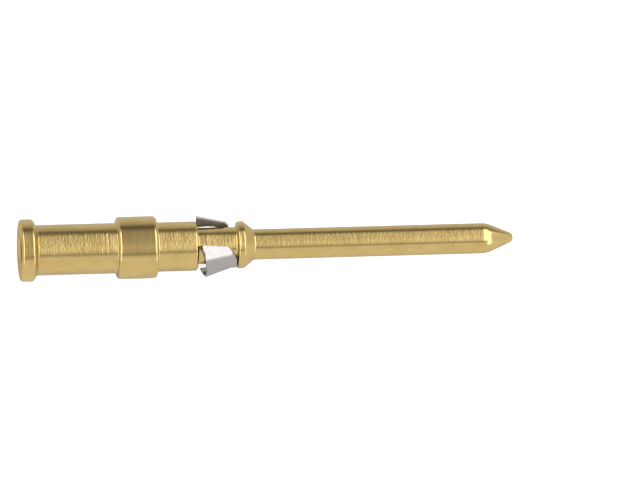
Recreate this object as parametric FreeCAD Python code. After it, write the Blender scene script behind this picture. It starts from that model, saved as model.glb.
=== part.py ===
import FreeCAD, Part
import math
import os

# Crimp contact pin: a turned contact with a crimp barrel at the rear and a round pin at the front,
# and a loose spring clip in the groove between them. All lengths are in millimetres, angles in degrees.
# The pin is drawn along X in its own frame, with the mouth of the crimp bore at X = 0 and the tip at +X.
# The last step lays it down as it rests on a table, on the front edge of its collar and the end of its shank.

# Turned contact, lengths from the rear to the tip
flange_width = 0.66
flange_bevel_length = 0.20
barrel_length = 4.24
collar_width = 2.08
shoulder_length = 2.15
groove_width = 2.11
front_collar_width = 0.37
shank_length = 12.36

# Turned contact, diameters
flange_diameter = 3.31
barrel_diameter = 2.66
collar_diameter = 3.28
shoulder_diameter = 2.60
neck_diameter = 1.90
front_collar_diameter = 2.48
shank_diameter = 1.60

# Turned contact, cones at the front
lead_angle = 40.0
tip_angle = 23.3
nose_radius = 0.30

# Turned contact, edges and corners
flange_rear_chamfer = 0.05
collar_chamfer = 0.09
shoulder_edge_radius = 0.06
front_collar_edge_radius = 0.04
neck_corner_radius = 0.10
tool_corner_radius = 0.05
lead_foot_radius = 0.25
tip_shoulder_radius = 1.20

# Crimp bore for the stripped wire
bore_diameter = 1.75
bore_depth = 8.00
bore_mouth_chamfer = 0.12
drill_point_angle = 118.0

# Spring clip, rolled from sheet: a front band with two tines that flare to the rear
clip_thickness = 0.12
clip_neck_play = 0.15
clip_length = 1.88
clip_band_length = 0.20
clip_bend_radius = 0.50
clip_flare_angle = 15.6
clip_lip_length = 0.22
clip_lip_angle = 5.0
clip_end_clearance = 0.04

# Spring clip, its mouth on top, between a near tine's edge beside the middle and a far tine's edge at an angle
# The far tine's front corner is cut by a plane that leans back
mouth_near_side = 0.605
mouth_corner_width = 0.46
mouth_corner_length = 0.38
mouth_corner_radius = 0.30
mouth_far_angle = 64.0
far_corner_setback = 0.124
far_corner_pitch = 24.2

# Spring clip, the slot between its tines, turned from below towards the far side
slot_width = 2.26
slot_turn = 21.0
slot_band_length = 0.55
slot_corner_radius = 0.25
tine_corner_length = 0.13
tine_corner_width = 0.09

# Spring clip, how its rims lean against the clip's own axis
rim_pitch = 3.0
front_rim_slant = 3.0
far_end_setback = 0.18
far_end_pitch = 5.4
far_end_slant = 1.7
near_end_slant = 11.5

# Spring clip, how it sits askew in the groove, turned about a point behind its front rim
clip_cock = 3.5
clip_pitch = 0.4
clip_pivot_setback = 0.60

# Stations along the pin
bevel_start = flange_width
barrel_start = bevel_start + flange_bevel_length
collar_start = barrel_start + barrel_length
shoulder_start = collar_start + collar_width
groove_start = shoulder_start + shoulder_length
front_collar_start = groove_start + groove_width
lead_start = front_collar_start + front_collar_width
lead_length = (front_collar_diameter - shank_diameter) / 2 / math.tan(math.radians(lead_angle))
shank_start = lead_start + lead_length
tip_start = shank_start + shank_length
collar_edge_station = shoulder_start - collar_chamfer

X_AXIS = FreeCAD.Vector(1, 0, 0)
Y_AXIS = FreeCAD.Vector(0, 1, 0)
Z_AXIS = FreeCAD.Vector(0, 0, 1)
ORIGIN = FreeCAD.Vector(0, 0, 0)
FULL_TURN = 360.0
QUARTER_TURN = 90.0


def rounded_edges(corners):
    """Edges of the closed outline through corners, each a (point, rounding radius) pair."""
    count = len(corners)
    stretches = []
    arcs = []
    for i in range(count):
        point, radius = corners[i]
        to_last = (corners[i - 1][0] - point).normalize()
        to_next = (corners[(i + 1) % count][0] - point).normalize()
        if radius == 0:
            stretches.append((point, point))
            arcs.append(None)
            continue
        half = to_last.getAngle(to_next) / 2
        middle = (to_last + to_next).normalize()
        setback = radius / math.tan(half)
        start = point + to_last * setback
        end = point + to_next * setback
        crown = point + middle * (radius / math.sin(half) - radius)
        stretches.append((start, end))
        arcs.append(Part.Arc(start, crown, end).toShape())
    edges = []
    for i in range(count):
        if arcs[i] is not None:
            edges.append(arcs[i])
        run_start = stretches[i][1]
        run_end = stretches[(i + 1) % count][0]
        edges.append(Part.LineSegment(run_start, run_end).toShape())
    return edges


def turned(corners):
    """Solid of revolution about X, from (station, radius, rounding) corners."""
    points = [(FreeCAD.Vector(station, 0, radius), rounding) for station, radius, rounding in corners]
    face = Part.Face(Part.Wire(rounded_edges(points)))
    return face.revolve(ORIGIN, X_AXIS, FULL_TURN)


def contact_outline():
    """Corners of the turned contact's outer outline, up to the start of its tip."""
    flange = flange_diameter / 2
    collar = collar_diameter / 2
    barrel = barrel_diameter / 2
    shoulder = shoulder_diameter / 2
    neck = neck_diameter / 2
    front_collar = front_collar_diameter / 2
    shank = shank_diameter / 2
    return [
        (0, 0, 0),
        (0, flange - flange_rear_chamfer, 0),
        (flange_rear_chamfer, flange, 0),
        (bevel_start, flange, 0),
        (barrel_start, barrel, tool_corner_radius),
        (collar_start, barrel, tool_corner_radius),
        (collar_start, collar - collar_chamfer, 0),
        (collar_start + collar_chamfer, collar, 0),
        (shoulder_start - collar_chamfer, collar, 0),
        (shoulder_start, collar - collar_chamfer, 0),
        (shoulder_start, shoulder, tool_corner_radius),
        (groove_start, shoulder, shoulder_edge_radius),
        (groove_start, neck, tool_corner_radius),
        (front_collar_start, neck, neck_corner_radius),
        (front_collar_start, front_collar, front_collar_edge_radius),
        (lead_start, front_collar, front_collar_edge_radius),
        (shank_start, shank, lead_foot_radius),
        (tip_start, shank, tip_shoulder_radius),
    ]


def tip_cone_end():
    """Station and radius where the tip's cone meets its round nose."""
    slope = math.radians(tip_angle)
    radius = nose_radius * math.cos(slope)
    station = tip_start + (shank_diameter / 2 - radius) / math.tan(slope)
    return station, radius


def nose_centre():
    return tip_cone_end()[0] - nose_radius * math.sin(math.radians(tip_angle))


def crimp_bore():
    """The drilled hole with its chamfered mouth and its drill point."""
    wall = bore_diameter / 2
    point_length = wall / math.tan(math.radians(drill_point_angle / 2))
    return turned([
        (0, 0, 0),
        (0, wall + bore_mouth_chamfer, 0),
        (bore_mouth_chamfer, wall, 0),
        (bore_depth, wall, 0),
        (bore_depth + point_length, 0, 0),
    ])


def contact_body():
    """The turned contact: outer form and tip cone with a ball nose, bored from the rear."""
    cone_station, cone_radius = tip_cone_end()
    outline = contact_outline()
    outline.append((cone_station, cone_radius, 0))
    outline.append((nose_centre(), 0, 0))
    nose = Part.makeSphere(nose_radius, FreeCAD.Vector(nose_centre(), 0, 0))
    blank = turned(outline).fuse(nose).removeSplitter()
    return blank.cut(crimp_bore()).removeSplitter()


def flared_ring():
    """The rolled sheet before it is trimmed: a band, a cone and a flatter lip of even thickness."""
    radius = neck_diameter / 2 + clip_neck_play + clip_thickness
    flare = math.radians(clip_flare_angle)
    lip = math.radians(clip_lip_angle)
    bend = -clip_band_length
    crease = clip_lip_length - clip_length
    rear = -2 * clip_length
    crease_radius = radius + (bend - crease) * math.tan(flare)
    rear_radius = crease_radius + (crease - rear) * math.tan(lip)
    middle = (flare + lip) / 2
    inner_bend = bend - clip_thickness * math.tan(flare / 2)
    inner_crease = crease - clip_thickness * math.sin(middle) / math.cos((flare - lip) / 2)
    inner_crease_radius = crease_radius - clip_thickness * math.cos(middle) / math.cos((flare - lip) / 2)
    return turned([
        (clip_length, radius - clip_thickness, 0),
        (clip_length, radius, 0),
        (bend, radius, clip_bend_radius),
        (crease, crease_radius, clip_bend_radius + clip_thickness),
        (rear, rear_radius, 0),
        (rear, rear_radius - clip_thickness / math.cos(lip), 0),
        (inner_crease, inner_crease_radius, clip_bend_radius),
        (inner_bend, radius - clip_thickness, clip_bend_radius + clip_thickness),
    ])


def prism(corners, height):
    """Upright prism on the clip's axis plane, up or down, from (x, y, rounding) corners."""
    points = [(FreeCAD.Vector(x, y, 0), rounding) for x, y, rounding in corners]
    face = Part.Face(Part.Wire(rounded_edges(points)))
    return face.extrude(Z_AXIS * height)


def opening_side(half_width):
    """Corners of one side of an opening at the rear, where it widens to break the corner of a tine."""
    start = tine_corner_length - clip_length
    widened = half_width + tine_corner_width * (1 + clip_length / tine_corner_length)
    return [(start - tine_corner_length - clip_length, widened, 0), (start, half_width, 0)]


def mouth():
    """Opening on top: along the near tine, with a slanted corner at the front, and round to the far tine's edge."""
    side = mouth_near_side
    front = clip_length
    rear = -2 * clip_length
    slanted = side + mouth_corner_width * (1 + clip_length / mouth_corner_length)
    edge = opening_side(side) + [(-mouth_corner_length, side, mouth_corner_radius), (front, slanted, 0)]
    near_edge = [(x, -y, rounding) for x, y, rounding in edge]
    near = prism(near_edge + [(front, 0, 0), (rear, 0, 0)], 2 * clip_length)
    far = Part.makeCylinder(2 * clip_length, front - rear, ORIGIN, Z_AXIS, mouth_far_angle)
    far.rotate(ORIGIN, Y_AXIS, -QUARTER_TURN)
    far.translate(X_AXIS * front)
    return [near, far]


def tine_slot():
    """Slot that parts the tines behind the neck, from the rear up to the front band."""
    half = slot_width / 2
    one_side = opening_side(half) + [(-slot_band_length, half, slot_corner_radius)]
    other_side = [(x, -y, rounding) for x, y, rounding in reversed(one_side)]
    slot = prism(one_side + other_side, -2 * clip_length)
    slot.rotate(ORIGIN, X_AXIS, slot_turn)
    return slot


def trim_block(start, low_y, high_y, station, pitch, slant):
    """Block that trims a rim: it reaches from start along the axis, leans as the rim does and moves to station."""
    size = 2 * clip_length
    block = Part.makeBox(size, high_y - low_y, 2 * size, FreeCAD.Vector(start, low_y, -size))
    block.rotate(ORIGIN, Y_AXIS, -pitch)
    block.rotate(ORIGIN, Z_AXIS, slant)
    block.translate(X_AXIS * station)
    return block


def retaining_clip():
    """The spring clip in its groove: flared sheet, trimmed to its rims, with its mouth and its slot."""
    wide = 2 * clip_length
    ahead = trim_block(0, -wide, wide, 0, rim_pitch, front_rim_slant)
    far_corner = trim_block(0, 0, wide, -far_corner_setback, far_corner_pitch, 0)
    far_end = trim_block(-wide, 0, wide, far_end_setback - clip_length, far_end_pitch, far_end_slant)
    near_end = trim_block(-wide, -wide, 0, -clip_length, rim_pitch, near_end_slant)
    clip = flared_ring().cut([ahead, far_corner, far_end, near_end] + mouth() + [tine_slot()])
    pivot = FreeCAD.Vector(-clip_pivot_setback, 0, 0)
    clip.rotate(pivot, Y_AXIS, -clip_pitch)
    clip.rotate(pivot, Z_AXIS, clip_cock)
    reach = clip.optimalBoundingBox(False, False).XMax
    clip.translate(X_AXIS * (front_collar_start - clip_end_clearance - reach))
    return clip


def rest_lean():
    """Angle, nose down, of a pin that lies on its collar's front edge and on the rounded end of its shank."""
    round_start = tip_start - tip_shoulder_radius * math.tan(math.radians(tip_angle / 2))
    run = round_start - collar_edge_station
    rise = collar_diameter / 2 - shank_diameter / 2 + tip_shoulder_radius
    return math.atan2(rise, run) - math.asin(tip_shoulder_radius / math.hypot(run, rise))


def laid_down(shapes):
    """The pieces as they rest: leaned nose down, on Z = 0, with the middle of the whole over the origin."""
    lean = math.degrees(rest_lean())
    leaned = {name: shape.copy() for name, shape in shapes.items()}
    for shape in leaned.values():
        shape.rotate(ORIGIN, Y_AXIS, lean)
    box = Part.makeCompound(list(leaned.values())).optimalBoundingBox(False, False)
    shift = FreeCAD.Vector(-box.Center.x, -box.Center.y, -box.ZMin)
    for shape in leaned.values():
        shape.translate(shift)
    return leaned


pieces = laid_down({"contact_body": contact_body(), "retaining_clip": retaining_clip()})
os.makedirs("parts", exist_ok=True)
for name, shape in pieces.items():
    shape.exportStep(os.path.join("parts", name + ".step"))
    box = shape.optimalBoundingBox(False, False)
    print(name, "valid", shape.isValid(), "solids", len(shape.Solids), "volume mm3", round(shape.Volume, 4))
    print("  from", [round(v, 3) for v in (box.XMin, box.YMin, box.ZMin)])
    print("  to  ", [round(v, 3) for v in (box.XMax, box.YMax, box.ZMax)])
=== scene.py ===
# %% [markdown]
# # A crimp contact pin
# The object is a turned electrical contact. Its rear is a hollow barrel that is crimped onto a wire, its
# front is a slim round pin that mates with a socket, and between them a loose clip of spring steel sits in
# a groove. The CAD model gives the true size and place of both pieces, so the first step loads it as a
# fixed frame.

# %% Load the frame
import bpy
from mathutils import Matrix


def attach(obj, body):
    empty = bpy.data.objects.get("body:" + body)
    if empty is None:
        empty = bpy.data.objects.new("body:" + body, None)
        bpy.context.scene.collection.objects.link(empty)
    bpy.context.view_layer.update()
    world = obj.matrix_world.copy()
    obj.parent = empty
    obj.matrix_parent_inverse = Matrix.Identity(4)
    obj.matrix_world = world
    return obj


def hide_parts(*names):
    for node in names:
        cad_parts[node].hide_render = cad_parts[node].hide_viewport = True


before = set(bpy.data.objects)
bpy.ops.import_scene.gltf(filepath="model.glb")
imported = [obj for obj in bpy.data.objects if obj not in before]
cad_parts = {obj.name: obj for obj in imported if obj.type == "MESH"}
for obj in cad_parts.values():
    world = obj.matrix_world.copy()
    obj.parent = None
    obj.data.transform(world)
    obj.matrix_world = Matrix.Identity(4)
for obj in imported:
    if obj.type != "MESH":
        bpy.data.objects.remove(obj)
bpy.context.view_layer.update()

import bpy
import math
from mathutils import Matrix, Vector

MM = 0.001

# %% [markdown]
# ## The pin's own axis
# The pin lies on a table on the front edge of its collar and on the rounded end of its shank, so its axis
# leans nose down by a few degrees. It is simplest to think in stations along the pin and heights from its
# axis, as on a lathe, and to let one small function turn those into places in the scene.

# %% Stations and heights on the leaning pin
LEAN = math.radians(2.76609)
REAR = Vector((-12.99300, 0, 1.98024))
ALONG = Vector((math.cos(LEAN), 0, -math.sin(LEAN)))
OUT = Vector((math.sin(LEAN), 0, math.cos(LEAN)))
TIP = 26.0935


def on_pin(station, height, side=0.0):
    """Place in metres of a point at a station on the pin, above its axis and to its side, all in mm."""
    return (REAR + ALONG * station + OUT * height + Vector((0, side, 0))) * MM


print("rear", on_pin(0, 0), "tip", on_pin(TIP, 0))

# %% [markdown]
# ## The camera
# The photograph was taken with a long lens from above and a little from the rear, because it shows the
# bore's mouth but no perspective. The camera's direction is set by two angles, its roll by the slope of the
# pin in the picture, and its distance by the picture's scale, so the pin fills the frame as it does there.

# %% The camera
AZIMUTH = math.radians(-10.466)
ELEVATION = math.radians(65.6)
PICTURE_SLOPE = math.radians(1.563)
PIXELS_PER_MM = 19.03
PICTURE_WIDTH = 640
PICTURE_HEIGHT = 480
MIDDLE_STATION = 13.09
MIDDLE_IN_PICTURE = (267.5, 244.0)
LENS = 1000.0
SENSOR = 36.0

back = Vector((
    math.sin(AZIMUTH) * math.cos(ELEVATION),
    -math.cos(AZIMUTH) * math.cos(ELEVATION),
    math.sin(ELEVATION),
))
level = (ALONG - back * ALONG.dot(back)).normalized()
right = math.cos(PICTURE_SLOPE) * level - math.sin(PICTURE_SLOPE) * back.cross(level)
up = back.cross(right)
across = (MIDDLE_IN_PICTURE[0] - PICTURE_WIDTH / 2) / PIXELS_PER_MM * MM
down = (MIDDLE_IN_PICTURE[1] - PICTURE_HEIGHT / 2) / PIXELS_PER_MM * MM
target = on_pin(MIDDLE_STATION, 0) - right * across + up * down
distance = LENS / SENSOR * PICTURE_WIDTH / PIXELS_PER_MM * MM

bpy.ops.object.camera_add(location=target + back * distance)
camera = bpy.context.object
camera.name = "camera"
camera.data.lens = LENS
camera.data.sensor_width = SENSOR
camera.data.clip_start = 0.1
camera.data.clip_end = 10.0
turned = Matrix((right, up, back)).transposed().to_4x4()
camera.matrix_world = Matrix.Translation(target + back * distance) @ turned
bpy.context.scene.camera = camera
print("camera", tuple(round(v, 4) for v in camera.location), "distance", round(distance, 3))

# %% [markdown]
# ## The turned contact
# The real contact is cut on a lathe from round bar, so its whole form is one outline turned about the axis.
# The outline is drawn as a chain of edges that is extruded point by point, from the drill point in the
# bore, out over the rear face and along the outside to the ball nose, and Spin turns it. Cylinders and cones
# could be stacked instead, but their joints would need a bevel each. Each corner of a real turned part has a
# tiny radius that catches the light as a bright line, and tumbling before the plating rounds the outer edges
# a little more, so each corner gets its own radius. A point close beside each radius keeps the shading of
# the straight runs true.

# %% Tools for outlines
def rounded(corners, arc_steps=5, hold=0.02):
    """Points of an open outline through (station, height, radius) corners, with arcs and holding points."""
    line = []
    for i, (station, height, radius) in enumerate(corners):
        here = Vector((station, height))
        if i == 0 or i == len(corners) - 1:
            line.append(here)
            continue
        before = (Vector(corners[i - 1][:2]) - here).normalized()
        after = (Vector(corners[i + 1][:2]) - here).normalized()
        half = before.angle(after) / 2
        reach = radius / math.tan(half)
        centre = here + (before + after).normalized() * radius / math.sin(half)
        start = here + before * reach - centre
        end = here + after * reach - centre
        sweep = start.angle_signed(end)
        line.append(here + before * (reach + hold))
        for k in range(arc_steps + 1):
            line.append(centre + Matrix.Rotation(-sweep * k / arc_steps, 2) @ start)
        line.append(here + after * (reach + hold))
    return line


print("a rounded corner has", len(rounded([(0, 0, 0), (1, 0, 0.1), (1, 1, 0)])) - 2, "points")


# %% Draw a chain of edges
def draw_chain(name, points):
    """A chain of edges as a new object, extruded from one vertex, point by point."""
    bpy.ops.object.select_all(action="DESELECT")
    bpy.ops.mesh.primitive_plane_add(size=MM, location=(0, 0, 0))
    piece = bpy.context.object
    piece.name = name
    piece.data.name = name
    bpy.ops.object.mode_set(mode="EDIT")
    bpy.ops.mesh.select_all(action="SELECT")
    bpy.ops.mesh.merge(type="CENTER")
    bpy.ops.transform.translate(value=points[0])
    for last, point in zip(points, points[1:]):
        bpy.ops.mesh.extrude_region_move(TRANSFORM_OT_translate={"value": point - last})
    bpy.ops.object.mode_set(mode="OBJECT")
    return piece


# %% The contact's outline
FLANGE, BARREL, COLLAR, SHOULDER, NECK, FRONT_COLLAR, SHANK = 1.650, 1.33, 1.64, 1.30, 0.95, 1.24, 0.80
BORE = 0.875
BORE_END = 8.0
DRILL_POINT = BORE_END + BORE / math.tan(math.radians(59))
BORE_CHAMFER = 0.12
FLANGE_END = 0.66
BARREL_START = 0.86
COLLAR_START = 5.10
COLLAR_END = 7.18
COLLAR_CHAMFER = 0.09
GROOVE_START = 9.33
GROOVE_END = 11.44
LEAD_START = 11.81
SHANK_START = 12.3344
TIP_START = 24.6944
CONE_END = 25.9122
NOSE = 0.30
NOSE_CENTRE = 25.7935
NOSE_FROM = 23.3
NOSE_STEPS = 8

outline = rounded([
    (DRILL_POINT, 0, 0),
    (BORE_END, BORE, 0.03),
    (BORE_CHAMFER, BORE, 0.02),
    (0.0, BORE + BORE_CHAMFER, 0.02),
    (0.0, FLANGE, 0.11),
    (FLANGE_END, FLANGE, 0.14),
    (BARREL_START, BARREL, 0.06),
    (COLLAR_START, BARREL, 0.06),
    (COLLAR_START, COLLAR - COLLAR_CHAMFER, 0.03),
    (COLLAR_START + COLLAR_CHAMFER, COLLAR, 0.18),
    (COLLAR_END - COLLAR_CHAMFER, COLLAR, 0.18),
    (COLLAR_END, COLLAR - COLLAR_CHAMFER, 0.03),
    (COLLAR_END, SHOULDER, 0.06),
    (GROOVE_START, SHOULDER, 0.12),
    (GROOVE_START, NECK, 0.05),
    (GROOVE_END, NECK, 0.10),
    (GROOVE_END, FRONT_COLLAR, 0.10),
    (LEAD_START, FRONT_COLLAR, 0.14),
    (SHANK_START, SHANK, 0.14),
    (TIP_START, SHANK, 1.20),
    (CONE_END, NOSE * math.cos(math.radians(NOSE_FROM)), 0),
])
for k in range(1, NOSE_STEPS + 1):
    turn = math.radians(NOSE_FROM + (90 - NOSE_FROM) * k / NOSE_STEPS)
    outline.append(Vector((NOSE_CENTRE + NOSE * math.sin(turn), NOSE * max(math.cos(turn), 0))))
print("outline of", len(outline), "points")

# %% Spin the contact
SPIN_STEPS = 144

contact = draw_chain("turned_contact", [on_pin(station, height) for station, height in outline])
bpy.ops.object.mode_set(mode="EDIT")
bpy.ops.mesh.select_all(action="SELECT")
bpy.ops.mesh.spin(steps=SPIN_STEPS, angle=2 * math.pi, center=on_pin(0, 0), axis=ALONG)
bpy.ops.mesh.select_all(action="SELECT")
bpy.ops.mesh.remove_doubles(threshold=0.0005 * MM)
bpy.ops.mesh.normals_make_consistent(inside=False)
bpy.ops.object.mode_set(mode="OBJECT")
bpy.ops.object.shade_smooth()
print("turned contact", len(contact.data.vertices), "vertices", len(contact.data.polygons), "faces")

# %% [markdown]
# ## The spring clip
# The clip is punched from thin spring steel and rolled into a ring that is open on top. Its front is a
# narrow band round the neck, and two tines flare out to the rear, with a mouth between their upper edges
# and a slot between their lower ones. The far tine ends in a mouth edge that runs straight along the flare
# at a fixed angle, so it is seen from its inner side behind the neck, and the near tine is seen from
# outside. The slot is turned a little towards the far side, the rims lean, and the whole clip sits askew,
# because it is loose in its groove.
#
# The clip could be a spun ring with its openings cut away, but cuts leave long thin faces that spoil a
# shiny surface. So each part of the sheet, two tines and the band between them, starts as a flat grid,
# whose points are moved to their places on the flare between the edges of the sheet. The line where tine
# and band meet starts narrow at the front rim and widens to the slot's width before the waist, because the
# parts share their points there and mustn't cross or fold. The parts are then merged, given the thickness
# of the sheet and a fine edge break.

# %% The clip's sizes and edges in its own frame
CLIP_STATION = 11.2450
CLIP_TURN = Matrix.Rotation(math.radians(3.5), 3, "Z") @ Matrix.Rotation(math.radians(-0.4), 3, "Y")
CLIP_PIVOT = Vector((-0.60, 0, 0))
SHEET = 0.12
WAIST = -0.80
FAR_EDGE = math.radians(64.0)
FAR_CORNER = -0.124
FAR_CORNER_PITCH = math.radians(24.2)
SLOT_HALF = 1.13
SLOT_TURN = math.radians(21.0)
SLOT_FRONT = -0.55
SLOT_ROUNDING = 0.25
BAND_FRONT_HALF = 0.70
FAR_SLOT_EXTRA = 0.05
BAND_RADIUS = 1.22
MOUTH_NEAR_SIDE = 0.605
CORNER_CUT = -1.75

# Each outline runs from front to rear and past the sheet at both ends: x, distance and corner radius in mm.
flare = rounded([
    (1.0, BAND_RADIUS, 0), (-0.20, BAND_RADIUS, 0.50), (-1.66, 1.6277, 0.62), (-4.0, 1.8324, 0),
], arc_steps=6)
mouth_side = rounded([
    (1.0, 2.2756, 0), (-0.38, MOUTH_NEAR_SIDE, 0.30), (CORNER_CUT, MOUTH_NEAR_SIDE, 0.03), (-4.0, 2.1627, 0),
], arc_steps=6)
slot_side = rounded([(1.0, SLOT_HALF, 0), (CORNER_CUT, SLOT_HALF, 0.03), (-4.0, 2.6877, 0)], arc_steps=6)
print("points on the flare, the mouth's side and the slot's side", len(flare), len(mouth_side), len(slot_side))


# %% Rims and places
def across_line(line, x):
    """Height of an outline, drawn from front to rear, at x."""
    for first, second in zip(line, line[1:]):
        if second.x <= x <= first.x:
            return first.y + (second.y - first.y) * (first.x - x) / (first.x - second.x)
    return line[-1].y


def rim(station, pitch, slant):
    """A plane across the clip that leans by two angles, as a function that gives its x at y and z."""
    on_y = math.tan(math.radians(slant))
    on_z = math.tan(math.radians(pitch)) / math.cos(math.radians(slant))
    return lambda y, z: station - y * on_y - z * on_z


front_rim = rim(0.0, 3.0, 3.0)
tine_rim = {1: rim(-1.70, 5.4, 1.7), -1: rim(-1.88, 3.0, 11.5)}


def clip_place(x, y, z):
    """Place in metres of a point of the clip's own frame."""
    p = CLIP_TURN @ (Vector((x, y, z)) - CLIP_PIVOT) + CLIP_PIVOT
    return on_pin(CLIP_STATION + p.x, p.z, p.y)


print("the clip's own zero lies at", clip_place(0, 0, 0))

# %% Points of the tines
SOLVER_STEPS = 12


def widen(front, rear, back_share):
    """A half width that goes from its front value at the rim to its rear value halfway to the waist."""
    return rear + (front - rear) * max(0, 1 - 2 * back_share) ** 2


def tine_point(hand, around, back_share):
    """Point of a tine, from the mouth at 0 to the slot at 1, and from the front rim at 0 to the rear at 2."""
    x = WAIST
    for _ in range(SOLVER_STEPS):
        r = across_line(flare, x)
        if hand > 0:
            corner_height = (FAR_CORNER - x) / math.tan(FAR_CORNER_PITCH)
            first = max(FAR_EDGE, math.acos(max(-1, min(corner_height / r, 1))))
        else:
            first = math.asin(min(across_line(mouth_side, x) / r, 1))
        slot = across_line(slot_side, x)
        if back_share < 1:
            slot = widen(BAND_FRONT_HALF, SLOT_HALF, back_share)
        elif hand > 0:
            slot += FAR_SLOT_EXTRA * min(1, 3 * (back_share - 1))
        last = math.pi - hand * SLOT_TURN - math.asin(min(slot / r, 1))
        turn = first + (last - first) * around
        y, z = hand * r * math.sin(turn), r * math.cos(turn)
        if back_share < 1:
            x = front_rim(y, z) + (WAIST - front_rim(y, z)) * back_share
        else:
            x = WAIST + (tine_rim[hand](y, z) - WAIST) * (back_share - 1)
    return clip_place(x, y, z)


print("rear corners at the slot", tine_point(1, 1, 2), tine_point(-1, 1, 2))


# %% Points of the band
def band_point(across_share, back_share):
    """Point of the band below the neck, from one side of the slot to the other and from rim to slot."""
    flat = SLOT_HALF - SLOT_ROUNDING
    if abs(across_share) <= 0.5:
        across = flat * across_share * 2
        rear = SLOT_FRONT
    else:
        turn = (abs(across_share) - 0.5) * math.pi
        across = math.copysign(flat + SLOT_ROUNDING * math.sin(turn), across_share)
        rear = WAIST + SLOT_ROUNDING * math.cos(turn)
    across = widen(BAND_FRONT_HALF * across_share, across, back_share)
    x = rear
    for _ in range(SOLVER_STEPS):
        below = -math.sqrt(across_line(flare, x) ** 2 - across * across)
        y = across * math.cos(SLOT_TURN) - below * math.sin(SLOT_TURN)
        z = across * math.sin(SLOT_TURN) + below * math.cos(SLOT_TURN)
        x = front_rim(y, z) + (WAIST - front_rim(y, z)) * back_share
        x += (rear - WAIST) * max(0, 2 * back_share - 1)
    return clip_place(x, y, z)


print("middle of the slot's front edge", band_point(0, 1))


# %% Make the sheet
def sheet_part(name, columns, rows, place):
    """A flat grid whose points are moved to place(share of its width, share of its length)."""
    bpy.ops.object.select_all(action="DESELECT")
    bpy.ops.mesh.primitive_grid_add(x_subdivisions=columns, y_subdivisions=rows, size=1, location=(0, 0, 0))
    part = bpy.context.object
    part.name = name
    part.data.name = name
    for v in part.data.vertices:
        v.co = place(v.co.x + 0.5, v.co.y + 0.5)
    return part


TINE_COLUMNS = 56
TINE_ROWS = 48
BAND_COLUMNS = 32
parts = [
    sheet_part("clip_left", TINE_COLUMNS, TINE_ROWS, lambda u, v: tine_point(1, u, 2 * v)),
    sheet_part("clip_right", TINE_COLUMNS, TINE_ROWS, lambda u, v: tine_point(-1, u, 2 * v)),
    sheet_part("spring_clip", BAND_COLUMNS, TINE_ROWS // 2, lambda u, v: band_point(2 * u - 1, v)),
]
for part in parts:
    part.select_set(True)
clip = parts[-1]
bpy.context.view_layer.objects.active = clip
bpy.ops.object.join()
bpy.ops.object.mode_set(mode="EDIT")
bpy.ops.mesh.select_all(action="SELECT")
bpy.ops.mesh.remove_doubles(threshold=0.001 * MM)
bpy.ops.mesh.normals_make_consistent(inside=False)
bpy.ops.object.mode_set(mode="OBJECT")
face = clip.data.polygons[0]
outward = face.center - on_pin(CLIP_STATION - 1, 0)
if face.normal.dot(outward - ALONG * outward.dot(ALONG)) < 0:
    bpy.ops.object.mode_set(mode="EDIT")
    bpy.ops.mesh.flip_normals()
    bpy.ops.object.mode_set(mode="OBJECT")
print("clip sheet", len(clip.data.vertices), "vertices")

# %% Thickness and edge breaks
EDGE_BREAK = 0.012

sheet = clip.modifiers.new("sheet", "SOLIDIFY")
sheet.thickness = SHEET * MM
sheet.offset = -1
sheet.use_even_offset = True
bpy.ops.object.modifier_apply(modifier="sheet")
edge = clip.modifiers.new("edge", "BEVEL")
edge.width = EDGE_BREAK * MM
edge.segments = 3
edge.limit_method = "ANGLE"
edge.angle_limit = math.radians(50)
bpy.ops.object.modifier_apply(modifier="edge")
bpy.ops.object.shade_smooth()
print("clip", len(clip.data.polygons), "faces")

# %% [markdown]
# ## Materials
# A small function adds a node with its settings and links, and another turns the sRGB hex value of a colour
# into the linear one that a shader wants.

# %% Tools for materials
def linear(hex_colour):
    """Linear RGBA of an sRGB hex colour such as #CEB476."""
    channels = [int(hex_colour[i:i + 2], 16) / 255 for i in (1, 3, 5)]
    return tuple(c / 12.92 if c <= 0.04045 else ((c + 0.055) / 1.055) ** 2.4 for c in channels) + (1.0,)


def node(tree, kind, settings=None, links=None):
    """Adds a node; settings are its own attributes or its input values, links feed its inputs."""
    made = tree.nodes.new(kind)
    for key, value in (settings or {}).items():
        if isinstance(key, str) and hasattr(made, key):
            setattr(made, key, value)
        else:
            made.inputs[key].default_value = value
    for key, source in (links or {}).items():
        tree.links.new(source, made.inputs[key])
    return made


def new_material(name):
    """A material with an empty node tree."""
    material = bpy.data.materials.new(name)
    material.use_nodes = True
    material.node_tree.nodes.clear()
    return material


print("the sRGB grey #808080 is", round(linear("#808080")[0], 4), "in linear light")

# %% [markdown]
# ## Gold plating over turned metal
# The contact is turned from a copper alloy and then plated with a few micrometres of gold, which follow
# every mark of the tool. The tool leaves fine rings round the work and, where it chattered, coarser ones in
# patches. They spread a reflection along the pin, so that its middle looks bright and a little mottled. A
# picture could paint these marks, but it would slide or stretch over the turned form. In the shader they
# are two noises that are short along the pin and long round it, used as a bump, with a third that says
# where the coarse ones are deep, and the highlight is stretched along the pin.
#
# The real feed marks are about 0.03 mm apart, too fine for the render, so they are drawn 0.09 mm apart.
#
# The finish differs from part to part. The barrel and the neck are plainly turned. The collar keeps the
# smooth surface of the drawn bar, which mirrors most clearly. The shank has to slide in a socket and is
# turned finely. The flange is skimmed with a coarser feed and looks streaked. The rear end is faced, so it
# is duller, and warmer at a glance.

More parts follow.
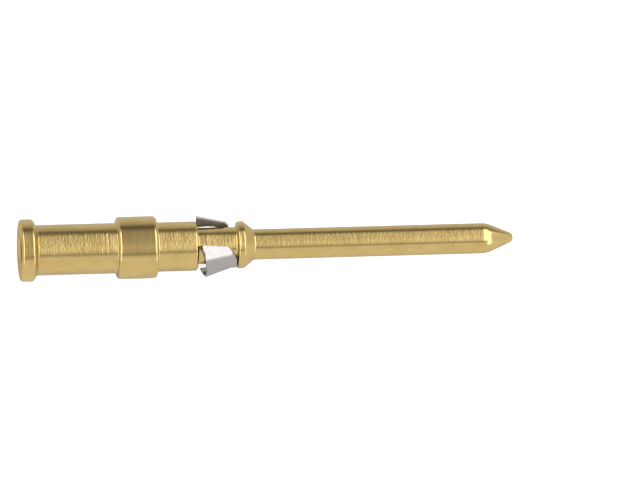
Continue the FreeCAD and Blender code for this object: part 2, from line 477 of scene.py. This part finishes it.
# %% How the gold and its marks are made
GOLD = "#CEB476"
GOLD_RUBBED = "#C9AD6E"
GOLD_GLANCING = "#FFDFB4"
WHITE = "#FFFFFF"
FINE_RINGS, FINE_LENGTH = 0.09, 0.22
COARSE_RINGS, COARSE_LENGTH = 0.22, 3.0
PATCH_WIDTH, PATCH_LENGTH = 1.2, 2.0
CLOUD_WIDTH, CLOUD_LENGTH = 0.9, 0.7


def mm_scale(along, round_it):
    """Scale of a noise whose marks have a width along the pin and a length round it, both in mm."""
    return 1 / (along * MM), 1 / (round_it * MM), 1 / (round_it * MM)


print("scale of the fine rings", [round(scale) for scale in mm_scale(FINE_RINGS, FINE_LENGTH)])


# %% Gold over tool marks
def ring_noise(tree, vector, spacing, length):
    """Noise that is short along the pin and long round it, both in mm."""
    scaled = node(tree, "ShaderNodeMapping", {"Scale": mm_scale(spacing, length)},
                  {"Vector": vector.outputs["Vector"]})
    return node(tree, "ShaderNodeTexNoise", {"Scale": 1.0, "Detail": 2.0, "Roughness": 0.6},
                {"Vector": scaled.outputs["Vector"]})


def gold_plating(name, fine_depth, coarse_depth, roughness, stretch, glancing=WHITE):
    """Gold over tool marks, from their depths in mm, the gloss, its stretch and its colour at a glance."""
    material = new_material(name)
    tree = material.node_tree
    place = node(tree, "ShaderNodeTexCoord")
    along = node(tree, "ShaderNodeMapping", {"vector_type": "TEXTURE", "Rotation": (0, LEAN, 0)},
                 {"Vector": place.outputs["Object"]})
    fine = ring_noise(tree, along, FINE_RINGS, FINE_LENGTH)
    coarse = ring_noise(tree, along, COARSE_RINGS, COARSE_LENGTH)
    patches = ring_noise(tree, along, PATCH_WIDTH, PATCH_LENGTH)
    depth = node(tree, "ShaderNodeMapRange", {"From Min": 0.35, "From Max": 0.65, "To Max": coarse_depth},
                 {"Value": patches.outputs["Fac"]})
    fine_height = node(tree, "ShaderNodeMath", {"operation": "MULTIPLY", 1: fine_depth},
                       {0: fine.outputs["Fac"]})
    height = node(tree, "ShaderNodeMath", {"operation": "MULTIPLY_ADD"},
                  {0: coarse.outputs["Fac"], 1: depth.outputs["Result"], 2: fine_height.outputs[0]})
    wide = node(tree, "ShaderNodeMapping", {"Scale": mm_scale(CLOUD_WIDTH, CLOUD_LENGTH)},
                {"Vector": along.outputs["Vector"]})
    clouds = node(tree, "ShaderNodeTexNoise", {"Scale": 1.0, "Detail": 3.0},
                  {"Vector": wide.outputs["Vector"]})
    colour = node(tree, "ShaderNodeValToRGB", links={"Fac": clouds.outputs["Fac"]})
    colour.color_ramp.elements[0].position = 0.35
    colour.color_ramp.elements[0].color = linear(GOLD_RUBBED)
    colour.color_ramp.elements[1].position = 0.6
    colour.color_ramp.elements[1].color = linear(GOLD)
    bump = node(tree, "ShaderNodeBump", {"Strength": 1.0, "Distance": MM}, {"Height": height.outputs[0]})
    lengthwise = node(tree, "ShaderNodeCombineXYZ", {"X": ALONG.x, "Y": 0.0, "Z": ALONG.z})
    gold = node(tree, "ShaderNodeBsdfPrincipled",
                {"Metallic": 1.0, "Roughness": roughness, "Anisotropic": stretch,
                 "Specular Tint": linear(glancing)},
                {"Base Color": colour.outputs["Color"], "Normal": bump.outputs["Normal"],
                 "Tangent": lengthwise.outputs["Vector"]})
    node(tree, "ShaderNodeOutputMaterial", links={"Surface": gold.outputs["BSDF"]})
    return material


# %% Five finishes on the contact
finishes = [
    gold_plating("gold_over_turned_metal", 0.0050, 0.008, 0.16, 0.6),
    gold_plating("gold_over_drawn_bar", 0.0003, 0.001, 0.10, 0.3),
    gold_plating("gold_over_finely_turned_metal", 0.0030, 0.002, 0.14, 0.5),
    gold_plating("gold_over_faced_end", 0.0010, 0.0, 0.25, 0.0, GOLD_GLANCING),
    gold_plating("gold_over_turned_flange", 0.0020, 0.009, 0.14, 0.4),
]
for finish in finishes:
    contact.data.materials.append(finish)
TURNED, DRAWN, FINELY_TURNED, FACED, FLANGE_TURNED = range(len(finishes))
REAR_FACE = 0.02
REAR_EDGE = 0.01
FLANGE_FOOT_STATION, FLANGE_FOOT_HEIGHT = 0.80, 1.40
BAR_HEIGHT = 1.55
COLLAR_FRONT_STATION, COLLAR_FRONT_HEIGHT = 7.1, 1.32
CONE_EDGE = 0.1


def finish_at(station, height):
    """The finish of the metal at a station and a height from the axis."""
    if REAR_FACE < station < FLANGE_FOOT_STATION and height > FLANGE_FOOT_HEIGHT:
        return FLANGE_TURNED
    if height > BAR_HEIGHT and station > REAR_EDGE:
        return DRAWN
    if station > COLLAR_FRONT_STATION and height > COLLAR_FRONT_HEIGHT:
        return DRAWN
    if station > LEAD_START + CONE_EDGE:
        return FINELY_TURNED
    if station < REAR_FACE and height > BORE:
        return FACED
    return TURNED


for face in contact.data.polygons:
    from_rear = face.center / MM - REAR
    station = from_rear.dot(ALONG)
    face.material_index = finish_at(station, (from_rear - ALONG * station).length)
used = [face.material_index for face in contact.data.polygons]
print("faces of each finish", [used.count(i) for i in range(len(finishes))])

# %% [markdown]
# ## Bright spring steel
# The clip is stamped from cold-rolled spring steel strip, which comes bright and smooth from the rolls with
# faint lines along the strip. It is a metal with a cool grey colour and a low roughness. The real lines are
# a few hundredths of a millimetre apart and are drawn 0.06 mm apart, so that they show.
#
# The photograph shows the far tine from its inner side, as an even grey with hardly a reflection. So that
# side gets a duller steel of its own, which spreads the light, and a much lighter colour, which is painted
# light that brightens this shaded side.

# %% Spring steel
STEEL = "#AEA9A8"
STEEL_DARK = "#A6A1A0"
# A much lighter colour, painted light for the far tine's shaded inner side.
STEEL_PAINTED_LIGHT = "#E2E0E6"
LINE_LENGTH, LINE_SPACING = 1.2, 0.06
LINE_DEPTH = 0.0004


def strip_steel(name, light, dark, roughness):
    """Spring steel with faint lines along the strip, with the colours and gloss of one of its sides."""
    material = new_material(name)
    tree = material.node_tree
    place = node(tree, "ShaderNodeTexCoord")
    strip = node(tree, "ShaderNodeMapping", {"Scale": mm_scale(LINE_LENGTH, LINE_SPACING)},
                 {"Vector": place.outputs["Object"]})
    lines = node(tree, "ShaderNodeTexNoise", {"Scale": 1.0, "Detail": 2.0},
                 {"Vector": strip.outputs["Vector"]})
    colour = node(tree, "ShaderNodeValToRGB", links={"Fac": lines.outputs["Fac"]})
    colour.color_ramp.elements[0].position = 0.35
    colour.color_ramp.elements[0].color = linear(dark)
    colour.color_ramp.elements[1].position = 0.65
    colour.color_ramp.elements[1].color = linear(light)
    bump = node(tree, "ShaderNodeBump", {"Strength": 1.0, "Distance": LINE_DEPTH * MM},
                {"Height": lines.outputs["Fac"]})
    steel = node(tree, "ShaderNodeBsdfPrincipled", {"Metallic": 1.0, "Roughness": roughness},
                 {"Base Color": colour.outputs["Color"], "Normal": bump.outputs["Normal"]})
    node(tree, "ShaderNodeOutputMaterial", links={"Surface": steel.outputs["BSDF"]})
    return material


clip.data.materials.append(strip_steel("bright_spring_steel", STEEL, STEEL_DARK, 0.18))
# The dull steel carries the lighter colour as painted light on the far tine's inner faces.
clip.data.materials.append(strip_steel("dull_spring_steel_painted_light", STEEL_PAINTED_LIGHT, STEEL, 0.55))
for face in clip.data.polygons:
    outward = face.center - on_pin(CLIP_STATION, 0)
    if outward.y > 0 and face.normal.dot(outward - ALONG * outward.dot(ALONG)) < 0:
        face.material_index = 1
print("dull faces of the far tine", sum(face.material_index for face in clip.data.polygons))

# %% [markdown]
# ## The table and the light
# The part lies on a white table in a light tent. A shiny round part mirrors everything round it, so most of
# what the photograph shows on the gold is the tent itself. It is bright on both sides of the pin and dimmer
# in a strip over the middle, where the camera looks in, with a thin dark seam beside that strip. Boxes of
# light stand towards the two ends of the pin and put the bright spots on its edges, its shoulders and its
# nose. Lamps and cards could build this tent, but it is simpler to draw it in the world's shader by the
# direction of a ray: by its angle over the pin, and by how far it points along the pin.
#
# The table is a pale paper, with painted shade that makes it darker behind the pin, so that the pin's top
# mirrors a darker table. A little glow that only the camera sees makes it a white background and leaves
# the light on the pin alone, and the pin still throws its pale shadow there.

# %% The table
TABLE_SIZE = 0.6
CAMERA_GLOW = 0.72
# The second paper tone is painted shade, darker behind the pin.
PAPER_NEAR, PAPER_PAINTED_SHADE = "#D2D2D2", "#BCBCBC"
PAPER_FROM, PAPER_TO = -1, 3

bpy.ops.object.select_all(action="DESELECT")
bpy.ops.mesh.primitive_plane_add(size=TABLE_SIZE, location=(0, 0, 0))
table = bpy.context.object
table.name = "table"
white_table = new_material("white_table")
tree = white_table.node_tree
ray = node(tree, "ShaderNodeLightPath")
lift = node(tree, "ShaderNodeMath", {"operation": "MULTIPLY", 1: CAMERA_GLOW},
            {0: ray.outputs["Is Camera Ray"]})
glow = node(tree, "ShaderNodeEmission", {"Color": linear(WHITE)}, {"Strength": lift.outputs[0]})
place = node(tree, "ShaderNodeTexCoord")
split = node(tree, "ShaderNodeSeparateXYZ", links={"Vector": place.outputs["Object"]})
# The paper passes into the painted shade across the pin, from in front of it to behind it.
depth = node(tree, "ShaderNodeMapRange", {"From Min": PAPER_FROM * MM, "From Max": PAPER_TO * MM},
             {"Value": split.outputs["Y"]})
tone = node(tree, "ShaderNodeValToRGB", links={"Fac": depth.outputs["Result"]})
tone.color_ramp.elements[0].color = linear(PAPER_NEAR)
tone.color_ramp.elements[1].color = linear(PAPER_PAINTED_SHADE)
paper = node(tree, "ShaderNodeBsdfDiffuse", links={"Color": tone.outputs["Color"]})
both = node(tree, "ShaderNodeAddShader", links={0: glow.outputs[0], 1: paper.outputs[0]})
node(tree, "ShaderNodeOutputMaterial", links={"Surface": both.outputs[0]})
table.data.materials.append(white_table)
print("table", TABLE_SIZE, "m wide")

# %% The directions of the tent
lens_side = (back - ALONG * back.dot(ALONG)).normalized()
over = ALONG.cross(lens_side) * -1
if over.dot(up) < 0:
    over = -over
print("over the pin", over, "towards the camera", lens_side)

world = bpy.data.worlds.new("light_tent")
bpy.context.scene.world = world
world.use_nodes = True
tree = world.node_tree
tree.nodes.clear()
ways = node(tree, "ShaderNodeTexCoord")


def share_along(way):
    """How far the ray's direction points along a fixed one."""
    dot = node(tree, "ShaderNodeVectorMath", {"operation": "DOT_PRODUCT", 1: way},
               {0: ways.outputs["Generated"]})
    return dot.outputs["Value"]


turn = node(tree, "ShaderNodeMath", {"operation": "ARCTAN2"},
            {0: share_along(over), 1: share_along(lens_side)})
turn_share = node(tree, "ShaderNodeMath", {"operation": "MULTIPLY_ADD", 1: 0.5 / math.pi, 2: 0.5},
                  {0: turn.outputs[0]})
endwise = node(tree, "ShaderNodeMath", {"operation": "ABSOLUTE"}, {0: share_along(ALONG)})


# %% The tent's grey levels
def tent(levels):
    """A ramp of grey levels by the angle over the pin, in degrees from the camera's side, 180 each way."""
    ramp = node(tree, "ShaderNodeValToRGB", links={"Fac": turn_share.outputs[0]})
    elements = ramp.color_ramp.elements
    while len(elements) > 1:
        elements.remove(elements[-1])
    for i, (angle, grey) in enumerate(levels):
        element = elements[0] if i == 0 else elements.new(angle / 360 + 0.5)
        element.position = angle / 360 + 0.5
        element.color = (grey, grey, grey, 1.0)
    return ramp.outputs["Color"]


strip_over = tent([
    (-180, 0.98), (-40, 0.98), (-32, 0.72), (-25, 0.40), (-18, 0.47), (-5, 0.50), (8, 0.48), (20, 0.33),
    (50, 0.29), (62, 0.23), (76, 0.13), (88, 0.26), (100, 0.60), (115, 0.72), (180, 0.74),
])
near_boxes = tent([
    (-180, 0.98), (-40, 0.98), (-32, 0.80), (-25, 0.45), (-18, 2.10), (0, 2.80), (62, 2.80), (74, 1.20),
    (82, 0.22), (100, 0.60), (115, 0.72), (180, 0.74),
])
far_boxes = tent([
    (-180, 0.98), (-60, 0.98), (-56, 2.60), (60, 2.40), (70, 0.60), (80, 0.22), (100, 0.60), (115, 0.72),
    (180, 0.74),
])
ends = tent([(-180, 0.90), (60, 0.90), (115, 0.72), (180, 0.74)])
print("ramps of the tent", sum(made.bl_idname == "ShaderNodeValToRGB" for made in tree.nodes))

# %% Fades from the middle to the ends of the tent
STRIP_TO_NEAR = (0.09, 0.25)
NEAR_TO_FAR = (0.42, 0.50)
FAR_TO_ENDS = (0.70, 0.75)


def fade(inner, outer, between):
    """Passes from one set of levels to another between two shares of endwise direction."""
    start, end = between
    share = node(tree, "ShaderNodeMapRange",
                 {"interpolation_type": "SMOOTHSTEP", "From Min": start, "From Max": end},
                 {"Value": endwise.outputs[0]})
    mix = node(tree, "ShaderNodeMix", {"data_type": "RGBA"},
               {"Factor": share.outputs["Result"], 6: inner, 7: outer})
    return mix.outputs[2]


tent_light = fade(strip_over, near_boxes, STRIP_TO_NEAR)
tent_light = fade(tent_light, far_boxes, NEAR_TO_FAR)
tent_light = fade(tent_light, ends, FAR_TO_ENDS)
ray = node(tree, "ShaderNodeLightPath")
seen = node(tree, "ShaderNodeMix", {"data_type": "RGBA", 7: linear(WHITE)},
            {"Factor": ray.outputs["Is Camera Ray"], 6: tent_light})
light = node(tree, "ShaderNodeBackground", {"Strength": 1.0}, {"Color": seen.outputs[2]})
node(tree, "ShaderNodeOutputWorld", links={"Surface": light.outputs[0]})
bpy.context.scene.view_settings.view_transform = "Standard"
print("nodes in the light tent", len(tree.nodes))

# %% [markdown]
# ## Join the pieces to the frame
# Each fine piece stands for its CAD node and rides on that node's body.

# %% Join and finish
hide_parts("contact_body")
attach(contact, "contact")
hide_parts("retaining_clip")
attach(clip, "clip")
